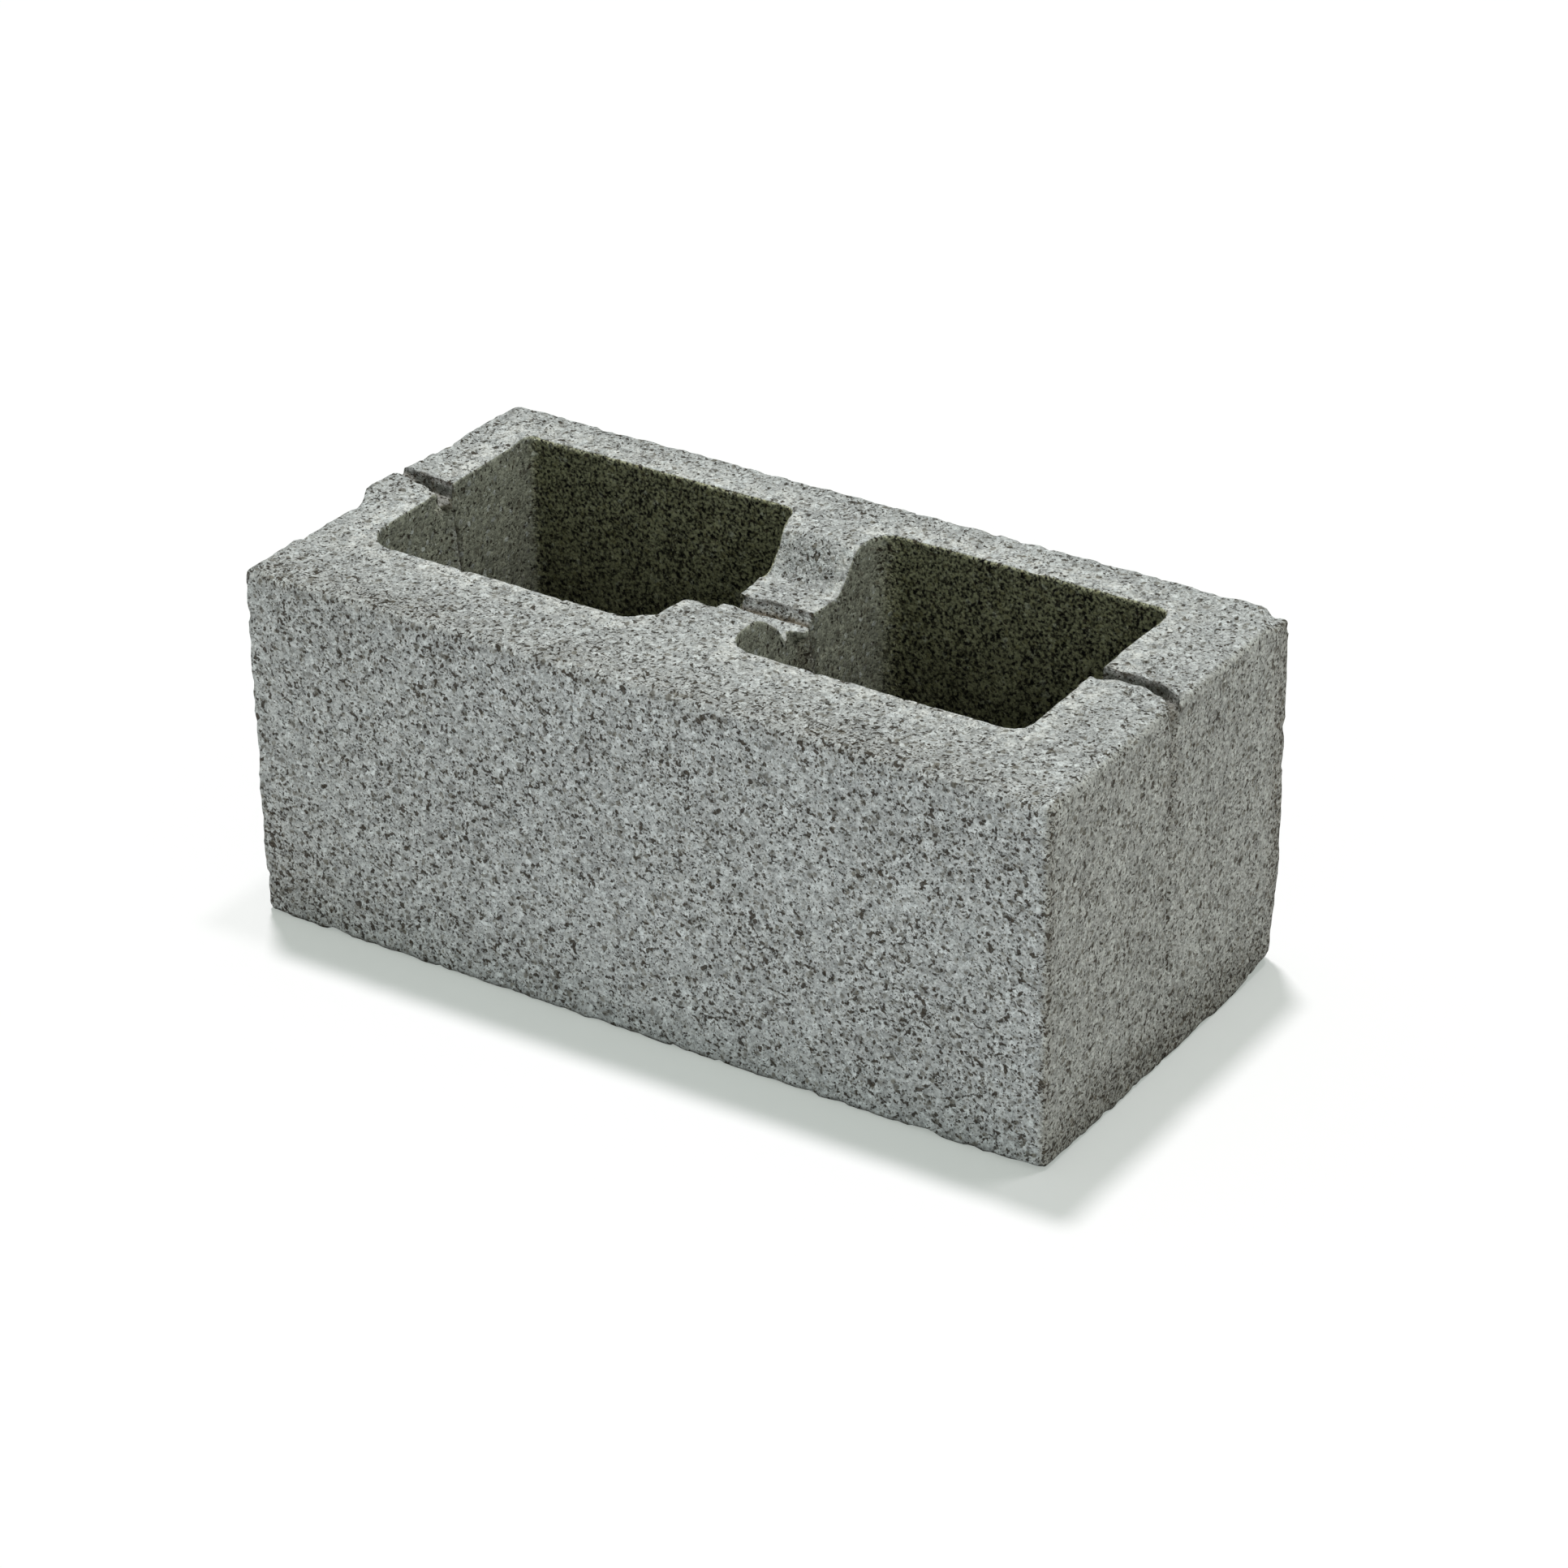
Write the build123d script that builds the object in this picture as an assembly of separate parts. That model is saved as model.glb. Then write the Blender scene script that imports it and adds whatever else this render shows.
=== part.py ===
from build123d import *
import os

# A two-cell concrete fence block, pressed in a steel mould as one piece.
# X runs along the block, Y from its thick face side to its back, and Z up.
# The origin is the middle of the bottom face. Sizes are in millimetres.

# Outer size of the block.
block_length = 400.0
block_width = 200.0
block_height = 170.0

# Walls round the two cells, at the top. The front and the right end are the dressed, thicker ones.
front_wall = 50.0
back_wall = 26.0
left_wall = 28.0
right_wall = 43.0
web_thickness = 43.0

# Corners of the cells, and how much each wall thickens towards the bottom, where the core was narrower.
cell_corner_radius = 7.0
cell_draft = 1.5

# Rounded arrises: the upright corners, the top and bottom outlines, and the mouths of the cells.
corner_radius = 4.0
top_arris = 3.0
bottom_arris = 3.0
mouth_arris = 2.5

# The low middle of the web, where the mould's core bar kept the concrete down.
recess_depth = 17.0
recess_floor = 38.0
recess_front_flank = 20.0
recess_back_flank = 22.0
recess_shift = 7.0
recess_rounding = 9.0

# The core bar's groove over both ends and the web, wider over the web. It leaves the left end straight,
# and bends to the middle of the right end face.
end_groove_width = 8.0
web_groove_width = 12.0
groove_depth = 7.0
groove_rounding = 3.0
groove_bend = 22.0

# The upright seams that the mould's joints leave down the two end faces, below the groove's ends.
seam_width = 4.0
seam_depth = 1.2

# Places that follow from the sizes above.
left_face = -block_length / 2
right_face = block_length / 2
front_face = -block_width / 2
cell_depth = block_width - front_wall - back_wall
cell_length = (block_length - left_wall - web_thickness - right_wall) / 2
cell_line = front_face + front_wall + cell_depth / 2
left_cell = left_face + left_wall + cell_length / 2
right_cell = right_face - right_wall - cell_length / 2
web_line = (left_cell + right_cell) / 2
recess_middle = cell_line + recess_shift
recess_height = block_height - recess_depth


def make_blank():
    """The solid block before its cells: an upright prism with rounded arrises all round."""
    outline = RectangleRounded(block_length, block_width, corner_radius)
    blank = extrude(outline, block_height)
    blank = fillet(blank.faces().sort_by(Axis.Z)[-1].edges(), top_arris)
    return fillet(blank.faces().sort_by(Axis.Z)[0].edges(), bottom_arris)


def make_core(middle):
    """One core of the mould: it leaves a cell that narrows downwards by the draft on each side."""
    mouth = RectangleRounded(cell_length, cell_depth, cell_corner_radius)
    foot = RectangleRounded(
        cell_length - 2 * cell_draft,
        cell_depth - 2 * cell_draft,
        cell_corner_radius - cell_draft,
    )
    place = Pos(middle, cell_line, 0)
    return loft([place * foot, place * Pos(0, 0, block_height) * mouth])


def make_recess():
    """The saddle in the web: a flat floor between two sloping flanks, extruded across the web."""
    floor_start = recess_middle - recess_floor / 2
    floor_end = recess_middle + recess_floor / 2
    with BuildSketch(Plane.YZ) as profile:
        with BuildLine():
            Polyline(
                (floor_start - recess_front_flank, block_height),
                (floor_start, recess_height),
                (floor_end, recess_height),
                (floor_end + recess_back_flank, block_height),
                close=True,
            )
        make_face()
        fillet(profile.vertices().group_by(Axis.Y)[0], recess_rounding)
    reach = web_thickness + cell_length
    return Pos(web_line, 0, 0) * extrude(profile.sketch, reach / 2, both=True)


def make_slot(mark, width, height):
    """A slot with a rounded bottom along a mark at a height, as the core bar leaves it."""
    slot = extrude(trace(mark, width), 2 * groove_depth)
    slot = fillet(slot.faces().sort_by(Axis.Z)[0].edges(), groove_rounding)
    return Pos(0, 0, height - groove_depth) * slot


def make_left_groove():
    """The groove over the left end wall: straight from the cell out through the end face."""
    mark = Line((left_cell, cell_line), (left_face - end_groove_width, cell_line))
    return make_slot(mark, end_groove_width, block_height)


def make_right_groove():
    """The groove over the right end wall: straight at the cell, then an arc to the end face's middle."""
    bend_start = right_face - groove_bend
    straight = Line((right_cell, cell_line), (bend_start, cell_line))
    bend = TangentArc((bend_start, cell_line), (right_face, 0), tangent=(1, 0))
    run_out = Line(bend @ 1, bend @ 1 + end_groove_width * (bend % 1))
    return make_slot(Wire([straight, bend, run_out]), end_groove_width, block_height)


def make_web_groove():
    """The groove over the web, in the floor of its recess."""
    reach = (web_thickness + cell_length) / 2
    mark = Line((web_line - reach, cell_line), (web_line + reach, cell_line))
    return make_slot(mark, web_groove_width, recess_height)


def make_seam(face, line):
    """A shallow V down a line of one end face, where two plates of the mould meet."""
    with BuildSketch() as notch:
        with BuildLine():
            Polyline(
                (face - seam_depth, line),
                (face, line - seam_width / 2),
                (face + seam_depth, line),
                (face, line + seam_width / 2),
                close=True,
            )
        make_face()
    return extrude(notch.sketch, block_height)


def mouth_edges(block):
    """The edges round the cells at the top, along the walls and over the web's saddle."""
    lowest = recess_height - groove_depth
    length_range = (left_face + left_wall / 2, right_face - right_wall / 2)
    width_range = (front_face + front_wall / 2, -front_face - back_wall / 2)
    inner = []
    for edge in block.edges():
        box = edge.bounding_box()
        inside_length = box.min.X > length_range[0] and box.max.X < length_range[1]
        inside_width = box.min.Y > width_range[0] and box.max.Y < width_range[1]
        if inside_length and inside_width and box.min.Z > lowest:
            inner.append(edge)
    return inner


block = make_blank()
for middle in (left_cell, right_cell):
    block -= make_core(middle)
block -= make_recess()
block = fillet(mouth_edges(block), mouth_arris)
for groove in (make_left_groove(), make_web_groove(), make_right_groove()):
    block -= groove
for face, line in ((left_face, cell_line), (right_face, 0)):
    block -= make_seam(face, line)

os.makedirs("parts", exist_ok=True)
export_step(block, "parts/fence_block.step")
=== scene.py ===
"""Looks of a two-cell concrete fence block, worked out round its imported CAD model.

The block is one closed mesh. Flat patches of grid lines make the box and its two cells, and the
functions below then round, sink, groove and roughen their points. All lengths are in metres.
"""

import itertools
import math

import bpy
import numpy as np
from bpy.props import FloatProperty, FloatVectorProperty, PointerProperty
from mathutils import Matrix, Vector


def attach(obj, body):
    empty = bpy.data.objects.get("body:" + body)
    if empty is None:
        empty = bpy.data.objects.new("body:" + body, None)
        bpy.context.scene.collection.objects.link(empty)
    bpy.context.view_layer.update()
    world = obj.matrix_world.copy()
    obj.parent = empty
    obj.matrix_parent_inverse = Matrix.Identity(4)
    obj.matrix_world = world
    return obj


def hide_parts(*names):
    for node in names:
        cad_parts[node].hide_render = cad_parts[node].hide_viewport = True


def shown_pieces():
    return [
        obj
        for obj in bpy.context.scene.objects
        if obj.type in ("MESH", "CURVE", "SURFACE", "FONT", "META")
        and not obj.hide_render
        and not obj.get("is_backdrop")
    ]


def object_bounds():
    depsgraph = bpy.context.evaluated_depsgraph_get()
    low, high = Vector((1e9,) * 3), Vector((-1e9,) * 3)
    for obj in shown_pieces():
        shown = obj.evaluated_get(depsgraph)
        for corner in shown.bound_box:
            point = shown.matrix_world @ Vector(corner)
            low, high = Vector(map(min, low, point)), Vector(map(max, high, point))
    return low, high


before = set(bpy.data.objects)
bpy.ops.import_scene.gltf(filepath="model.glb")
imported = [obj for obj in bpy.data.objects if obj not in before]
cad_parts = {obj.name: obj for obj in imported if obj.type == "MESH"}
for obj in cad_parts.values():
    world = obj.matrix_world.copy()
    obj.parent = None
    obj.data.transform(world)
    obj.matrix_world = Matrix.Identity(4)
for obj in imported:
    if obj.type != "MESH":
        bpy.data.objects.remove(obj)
cad_low, cad_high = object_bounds()
NODE = "fence_block"
BODY = "root"
PIECE = "fence_block_cast"

# A point closer than this to a plane lies on it.
ON_PLANE = 1e-6

bl_info = {
    "name": "Concrete fence block",
    "version": (1, 0, 0),
    "blender": (4, 5, 0),
    "location": "3D View > Sidebar > Fence block",
    "description": "Casts a two-cell concrete fence block and sets a plain studio round it",
    "category": "Add Mesh",
}


def length(name, default, description):
    """A length in metres that a user may change."""
    return FloatProperty(
        name=name, description=description, default=default, unit="LENGTH", subtype="DISTANCE", precision=4
    )


def colour(name, default, description):
    """A linear colour that a user may change."""
    return FloatVectorProperty(
        name=name, description=description, default=default, size=3, min=0.0, max=1.0, subtype="COLOR"
    )


def share(name, default, description):
    """A plain number that a user may change."""
    return FloatProperty(name=name, description=description, default=default, precision=3)


class BlockSizes(bpy.types.PropertyGroup):
    """Sizes of the cast block, those of its CAD solid with the finer forms beside them."""

    front_wall: length("Front wall", 0.050, "Thickness of the wall at the front")
    back_wall: length("Back wall", 0.026, "Thickness of the wall at the back")
    left_wall: length("Left wall", 0.028, "Thickness of the wall at the left end")
    right_wall: length("Right wall", 0.043, "Thickness of the wall at the right end")
    web: length("Web", 0.043, "Thickness of the web between the cells")
    cell_corner: length("Cell corner", 0.007, "Radius of the upright corners of the cells")
    draft: length("Draft", 0.0015, "How much each cell narrows down to the bottom, on each side")
    arris: length("Arris", 0.0032, "Mean radius of the top's outer edges")
    lower_arris: length("Lower arris", 0.0018, "Mean radius of the other outer edges")
    arris_wander: length("Arris wander", 0.0007, "How far the radius of the outer edges wanders")
    mouth: length("Cell mouth", 0.0014, "Radius of the edges round the cells")
    top_skin: length("Top skin", 0.0016, "Room over the top face for burrs, below the CAD box")
    left_skin: length("Left skin", 0.0020, "Room beside the left face for burrs, inside the CAD box")
    skin: length("Skin", 0.0005, "Room beside the other faces for their grain")
    relief: length("Relief", 0.00036, "Height of the grain on the faces")
    pit: length("Pit", 0.0011, "Depth of the larger pores")
    recess: length("Recess", 0.0165, "How far the middle of the web is sunk")
    web_wear: length("Web wear", 0.0050, "How far the web's left edge is worn back")
    groove: length("Groove depth", 0.0070, "Depth of the core bar's groove")
    end_groove: length("End groove", 0.0072, "Width of the groove over the two end walls")
    web_groove: length("Web groove", 0.0106, "Width of the groove over the web")
    groove_bend: length("Groove bend", 0.022, "Length of the groove's arc to the right end's middle")
    seam: length("Seam", 0.0011, "Depth of the upright seams of the mould")
    fin_lean: share("Fin lean", 0.12, "How far the fins on the cells' walls lean to the back, by depth")
    step: length("Step", 0.0024, "Spacing of the grid lines")
    fine: length("Fine step", 0.0010, "Spacing of the grid lines along edges and the groove")


class BlockFinish(bpy.types.PropertyGroup):
    """Colours of the concrete, as linear values, and the sizes of its grains and pores."""

    paste: colour("Paste", (0.352, 0.373, 0.362), "Cement paste on the pressed faces")
    sand: colour("Sand", (0.455, 0.490, 0.480), "Light sand grains")
    stone: colour("Stone", (0.092, 0.086, 0.064), "Dark grains of stone")
    pore: colour("Pore", (0.036, 0.029, 0.019), "Bottom of the open pores")
    # The rim colour also paints a highlight on the lit side of the fins in the cells.
    rim: colour("Rim", (0.520, 0.540, 0.510), "Paste that is drawn out at the mouths of the cells")
    # The cells' walls are darker than the faces, partly in their own tone and partly as painted shade.
    cell: colour("Cell", (0.256, 0.269, 0.218), "Paste on the walls of the cells")
    # Painted shade: the back and right walls of the cells, darker and more olive than the left walls.
    back_and_right_shade: colour("Damp", (0.178, 0.176, 0.066), "Damp paste on the back and right walls of the cells")
    # The stain also paints shade on the groove's floor and towards the foot of the right end face.
    stain: colour("Stain", (0.108, 0.091, 0.062), "Brownish stain in open-grained bands")
    end: colour("End", (0.830, 0.815, 0.770), "How much light the right end face keeps beside the others")
    coarse_grain: length("Coarse grain", 0.0027, "Size of the coarse grains")
    fine_grain: length("Fine grain", 0.0011, "Size of the fine grains")
    pore_size: length("Pore size", 0.0021, "Size of the open pores")
    pin_size: length("Pin size", 0.0010, "Size of the pinholes")
    hole_size: length("Hole size", 0.0036, "Size of the few larger holes")
    bump: length("Bump", 0.0008, "Height of the grains and pores that are only shaded")


class StageLook(bpy.types.PropertyGroup):
    """Camera and light."""

    lens: share("Lens", 112.3, "Focal length in millimetres on a 36 mm sensor")
    azimuth: share("Azimuth", 33.34, "Turn of the view to the right of the front, in degrees")
    pitch: share("Pitch", 29.07, "How far the view looks down, in degrees")
    roll: share("Roll", -0.78, "Turn of the camera about its own axis, in degrees")
    distance: length("Distance", 2.0944, "Distance from the camera to its aim")
    aim_x: length("Aim X", 0.0138, "Aim of the camera along the block")
    aim_y: length("Aim Y", -0.0043, "Aim of the camera across the block")
    aim_z: length("Aim Z", 0.0807, "Height of the camera's aim")
    sky: share("Sky", 0.30, "Level of the even light from all round")
    overhead: share("Overhead", 0.77, "Level of the lamp nearly overhead")
    low_front: share("Low front", 0.290, "Level of the low lamp in front")
    side: share("Side", 0.34, "Level of the lamp that reaches into the cells")
    shade: share("Shade", 0.64, "How much of the shadow the floor shows")


class Cast:
    """The block's planes and lines in metres, worked out from the CAD box and the sizes."""

    def __init__(self, sizes):
        self.sizes = sizes
        self.low = np.array(cad_low)
        self.high = np.array(cad_high)
        self.start = self.low + (sizes.left_skin, sizes.skin, 0.0)
        self.end = self.high - (sizes.skin, sizes.skin, sizes.top_skin)
        self.top = self.end[2]
        cell_length = (self.high[0] - self.low[0] - sizes.left_wall - sizes.web - sizes.right_wall) / 2
        left = self.low[0] + sizes.left_wall
        right = self.high[0] - sizes.right_wall
        self.cell_x = [(left, left + cell_length), (right - cell_length, right)]
        self.cell_y = (self.low[1] + sizes.front_wall, self.high[1] - sizes.back_wall)
        self.line = sum(self.cell_y) / 2
        self.web_x = (left + cell_length, right - cell_length)
        # Radii of the cells' upright corners: for each cell, front then back, each left then right.
        self.corners = sizes.cell_corner * np.array([[[2.4, 1.3], [0.7, 1.0]], [[2.3, 1.3], [1.5, 1.0]]])


def smooth(value, start, end):
    """0 up to start and 1 from end, with 3t^2 - 2t^3 between them."""
    t = np.clip((value - start) / (end - start), 0, 1)
    return t * t * (3 - 2 * t)


def hill(points, centre, reach):
    """1 at the centre, falling as (1 - d^2)^2 to 0 where the distance in reaches, d, is 1."""
    gap = (points - np.array(centre)) / np.array(reach)
    return np.clip(1 - (gap * gap).sum(axis=1), 0, 1) ** 2


def mound(points, centre, reach):
    """A hill with a flat top: 1 where the hill is over 0.45, falling to 0 at its foot."""
    return smooth(hill(points, centre, reach), 0.0, 0.45)


def noise(points, size, seed):
    """Smooth noise from -1 to 1: random values at the corners of cubes of a size, blended by 3t^2 - 2t^3."""
    count = 64
    table = np.random.default_rng(seed).uniform(-1, 1, (count, count, count))
    place = points / size
    base = np.floor(place).astype(int)
    part = place - base
    part = part * part * (3 - 2 * part)
    total = np.zeros(len(points))
    for corner in itertools.product((0, 1), repeat=3):
        index = (base + corner) % count
        weight = np.where(corner, part, 1 - part).prod(axis=1)
        total += weight * table[index[:, 0], index[:, 1], index[:, 2]]
    return total


def spread(start, end, step):
    """Even lines from start up to end, no further apart than a step, without the end itself."""
    count = max(1, math.ceil((end - start) / step - 0.01))
    return np.linspace(start, end, count, endpoint=False)


def lines(marks, step, fine, band):
    """Grid lines through the marks: fine for a band on each side of every mark, a step apart elsewhere."""
    parts = []
    for start, end in zip(marks[:-1], marks[1:]):
        parts.append(spread(start, start + band, fine))
        parts.append(spread(start + band, end - band, step))
        parts.append(spread(end - band, end, fine))
    return np.concatenate(parts + [[marks[-1]]])


def patch(us, vs, place, keep=None, flip=False):
    """A grid over u and v: place(u, v) gives its points, and keep(u, v) says which quads stay."""
    u, v = np.meshgrid(us, vs, indexing="ij")
    points = np.stack(np.broadcast_arrays(*place(u, v)), axis=-1).reshape(-1, 3)
    index = np.arange(u.size).reshape(u.shape)
    quads = np.stack([index[:-1, :-1], index[1:, :-1], index[1:, 1:], index[:-1, 1:]], axis=-1)
    if keep is not None:
        middle = np.meshgrid((us[:-1] + us[1:]) / 2, (vs[:-1] + vs[1:]) / 2, indexing="ij")
        quads = quads[keep(*middle)]
    quads = quads.reshape(-1, 4)
    return points, quads[:, ::-1] if flip else quads


def box_patches(cast):
    """The patches of a sharp box with two through cells: (points, quads, whether it is a cell wall)."""
    sizes = cast.sizes
    band = 0.004
    groove_band = 0.012
    seen_depth = 0.060
    low_step = 0.0070
    x_marks = [cast.start[0], *cast.cell_x[0], *cast.cell_x[1], cast.end[0]]
    xs = lines(x_marks, sizes.step, sizes.fine, band)
    front = lines([cast.start[1], cast.cell_y[0], cast.line - groove_band], sizes.step, sizes.fine, band)
    groove = spread(cast.line - groove_band, cast.line + groove_band, sizes.fine)
    back = lines([cast.line + groove_band, cast.cell_y[1], cast.end[1]], sizes.step, sizes.fine, band)
    ys = np.concatenate([front[:-1], groove, back])
    zs = lines([0.0, cast.top], sizes.step, sizes.fine, band)
    deep = np.concatenate(
        [
            spread(0.0, band, sizes.fine),
            spread(band, cast.top - seen_depth, low_step),
            spread(cast.top - seen_depth, cast.top - band, sizes.step),
            spread(cast.top - band, cast.top, sizes.fine),
            [cast.top],
        ]
    )

    def solid(x, y):
        """Whether a quad of the top or the bottom is outside both cells."""
        in_x = np.zeros(x.shape, bool)
        for start, end in cast.cell_x:
            in_x |= (x > start) & (x < end)
        return ~(in_x & (y > cast.cell_y[0]) & (y < cast.cell_y[1]))

    patches = [
        (*patch(xs, ys, lambda x, y: (x, y, cast.top), keep=solid), False),
        (*patch(xs, ys, lambda x, y: (x, y, 0.0), keep=solid, flip=True), False),
        (*patch(xs, zs, lambda x, z: (x, cast.start[1], z)), False),
        (*patch(xs, zs, lambda x, z: (x, cast.end[1], z), flip=True), False),
        (*patch(ys, zs, lambda y, z: (cast.end[0], y, z)), False),
        (*patch(ys, zs, lambda y, z: (cast.start[0], y, z), flip=True), False),
    ]
    inner_y = ys[(ys > cast.cell_y[0] - ON_PLANE) & (ys < cast.cell_y[1] + ON_PLANE)]
    for start, end in cast.cell_x:
        inner_x = xs[(xs > start - ON_PLANE) & (xs < end + ON_PLANE)]
        patches += [
            (*patch(inner_y, deep, lambda y, z: (start, y, z)), True),
            (*patch(inner_y, deep, lambda y, z: (end, y, z), flip=True), True),
            (*patch(inner_x, deep, lambda x, z: (x, cast.cell_y[0], z), flip=True), True),
            (*patch(inner_x, deep, lambda x, z: (x, cast.cell_y[1], z)), True),
        ]
    return patches


def weld(patches):
    """Joins patches where their points agree: (points, quads, cell wall or not for each quad)."""
    offset = 0
    points, quads, inner = [], [], []
    for patch_points, patch_quads, is_cell in patches:
        points.append(patch_points)
        quads.append(patch_quads + offset)
        inner.append(np.full(len(patch_quads), is_cell))
        offset += len(patch_points)
    points = np.concatenate(points)
    keys = np.round(points * 1e7).astype(np.int64)
    _, first, same = np.unique(keys, axis=0, return_index=True, return_inverse=True)
    quads = same.reshape(-1)[np.concatenate(quads)]
    used, quads = np.unique(quads, return_inverse=True)
    return points[first][used], quads.reshape(-1, 4), np.concatenate(inner)


def nearest_cell(cast, points):
    """For each point: the gap to the nearer cell's outline, 0 on its walls, the unit direction from the
    cell into the wall, which turns round the cell's corners, and the shift that rounds those corners."""
    gap = np.full(len(points), np.inf)
    way = np.zeros((len(points), 2))
    shift = np.zeros((len(points), 2))
    plan = points[:, :2]
    for (start, end), corners in zip(cast.cell_x, cast.corners):
        low = np.array([start, cast.cell_y[0]])
        high = np.array([end, cast.cell_y[1]])
        right, back = (plan > (low + high) / 2).astype(int).T
        radius = corners[back, right][:, None]
        on_outline = np.clip(plan, low, high)
        distance = np.abs(plan - on_outline).max(axis=1)
        heart = np.clip(on_outline, low + radius, high - radius)
        arm = on_outline - heart
        reach = np.linalg.norm(arm, axis=1, keepdims=True)
        direction = arm / np.maximum(reach, 1e-9)
        rounded = heart + direction * np.abs(arm).max(axis=1, keepdims=True)
        nearer = distance < gap
        gap = np.where(nearer, distance, gap)
        way = np.where(nearer[:, None], direction, way)
        shift = np.where(nearer[:, None], rounded - on_outline, shift)
    return gap, way, shift


def round_outside(cast, nominal, points):
    """Rounds the outer edges: a point's arm from the box shrunk by the radius keeps its direction and gets
    its longest component as its length. The radius wanders with noise and grows at the worn corners."""
    sizes = cast.sizes
    upper = smooth(nominal[:, 2], cast.top - 0.012, cast.top)
    radius = sizes.lower_arris + (sizes.arris - sizes.lower_arris) * upper
    wander = 0.6 * noise(nominal, 0.011, 11) + 0.8 * noise(nominal, 0.0046, 12)
    radius = radius + sizes.arris_wander * wander
    least_radius = 0.0011
    low, high = cast.start, cast.end
    # For each worn corner: its place, how far the wear reaches and how much it adds to the radius.
    worn = [
        ((high[0], high[1], 0.0), (0.03, 0.04, 0.050), 0.0075),
        ((high[0], low[1], 0.0), (0.03, 0.03, 0.030), 0.0025),
        ((low[0], low[1], 0.0), (0.03, 0.03, 0.030), 0.0012),
        ((low[0], high[1], high[2]), (0.04, 0.04, 0.050), 0.0040),
        ((high[0], low[1], high[2]), (0.05, 0.03, 0.030), 0.0014),
    ]
    for corner, reach, more in worn:
        radius = radius + more * hill(nominal, corner, reach)
    radius = np.maximum(radius, least_radius)[:, None]
    heart = np.clip(points, low + radius, high - radius)
    arm = points - heart
    reach = np.linalg.norm(arm, axis=1, keepdims=True)
    longest = np.abs(arm).max(axis=1, keepdims=True)
    return heart + arm * longest / np.maximum(reach, 1e-9)


def round_mouths(cast, nominal, points):
    """Rounds the upright corners of the cells and the edges of their mouths, and gives the cells' draft.
    At an edge, the two distances to the arc's axis, the longer of which is the radius, are scaled to it."""
    sizes = cast.sizes
    gap, way, shift = nearest_cell(cast, nominal)
    fade = np.clip(1 - gap / 0.016, 0, 1) ** 2
    wander = 1 + 0.5 * noise(nominal, 0.011, 21) + 0.35 * noise(nominal, 0.0046, 22)
    least_radius = 0.0009
    radius = np.maximum(sizes.mouth * wander, least_radius)
    below = np.minimum(cast.top - nominal[:, 2], nominal[:, 2])
    across = np.clip(radius - gap, 0, None)
    down = np.clip(radius - below, 0, None)
    far = np.maximum(np.hypot(across, down), 1e-9)
    longest = np.maximum(across, down)
    outward = np.where((across > 0) & (down > 0), across - across * longest / far, 0)
    sunk = np.where((across > 0) & (down > 0), down - down * longest / far, 0)
    narrowing = sizes.draft * (1 - nominal[:, 2] / cast.top) * np.clip(1 - gap / 0.012, 0, 1)
    result = points.copy()
    result[:, :2] += shift * fade[:, None] + way * (outward - narrowing)[:, None]
    result[:, 2] += np.where(nominal[:, 2] > cast.top / 2, -sunk, sunk)
    return result


def over_web(cast, nominal):
    """1 over the web and on its two walls, 0 elsewhere."""
    start, end = cast.web_x
    return ((nominal[:, 0] > start - ON_PLANE) & (nominal[:, 0] < end + ON_PLANE)).astype(float)


def sink_web(cast, nominal, points):
    """Sinks the web's middle: two flanks of 3t^2 - 2t^3 down to a floor that waves a little. The web's walls
    follow, less and less down to a depth of 70 mm, and its left edge is worn back."""
    x, y, z = nominal.T
    start = cast.line - 0.039
    floor_start = cast.line - 0.010
    floor_end = cast.line + 0.026
    end = cast.line + 0.047
    depth = smooth(y, start, floor_start) * smooth(-y, -end, -floor_end)
    depth = depth * (cast.sizes.recess + 0.0008 * noise(nominal, 0.016, 31))
    middle = smooth(y, cast.line - 0.062, cast.line - 0.050)
    middle = middle * smooth(-y, -cast.line - 0.062, -cast.line - 0.036)
    beside = 1 - smooth(x, cast.web_x[0], cast.web_x[0] + 0.020)
    ragged = 1 + 0.25 * noise(nominal * (0, 1, 0), 0.009, 32)
    wear = cast.sizes.web_wear * middle * beside * ragged
    wear_foot = 0.115
    result = points.copy()
    result[:, 0] += wear * over_web(cast, nominal) * smooth(z, wear_foot, cast.top)
    result[:, 2] -= depth * over_web(cast, nominal) * smooth(z, cast.top - 0.070, cast.top)
    return result


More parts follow.
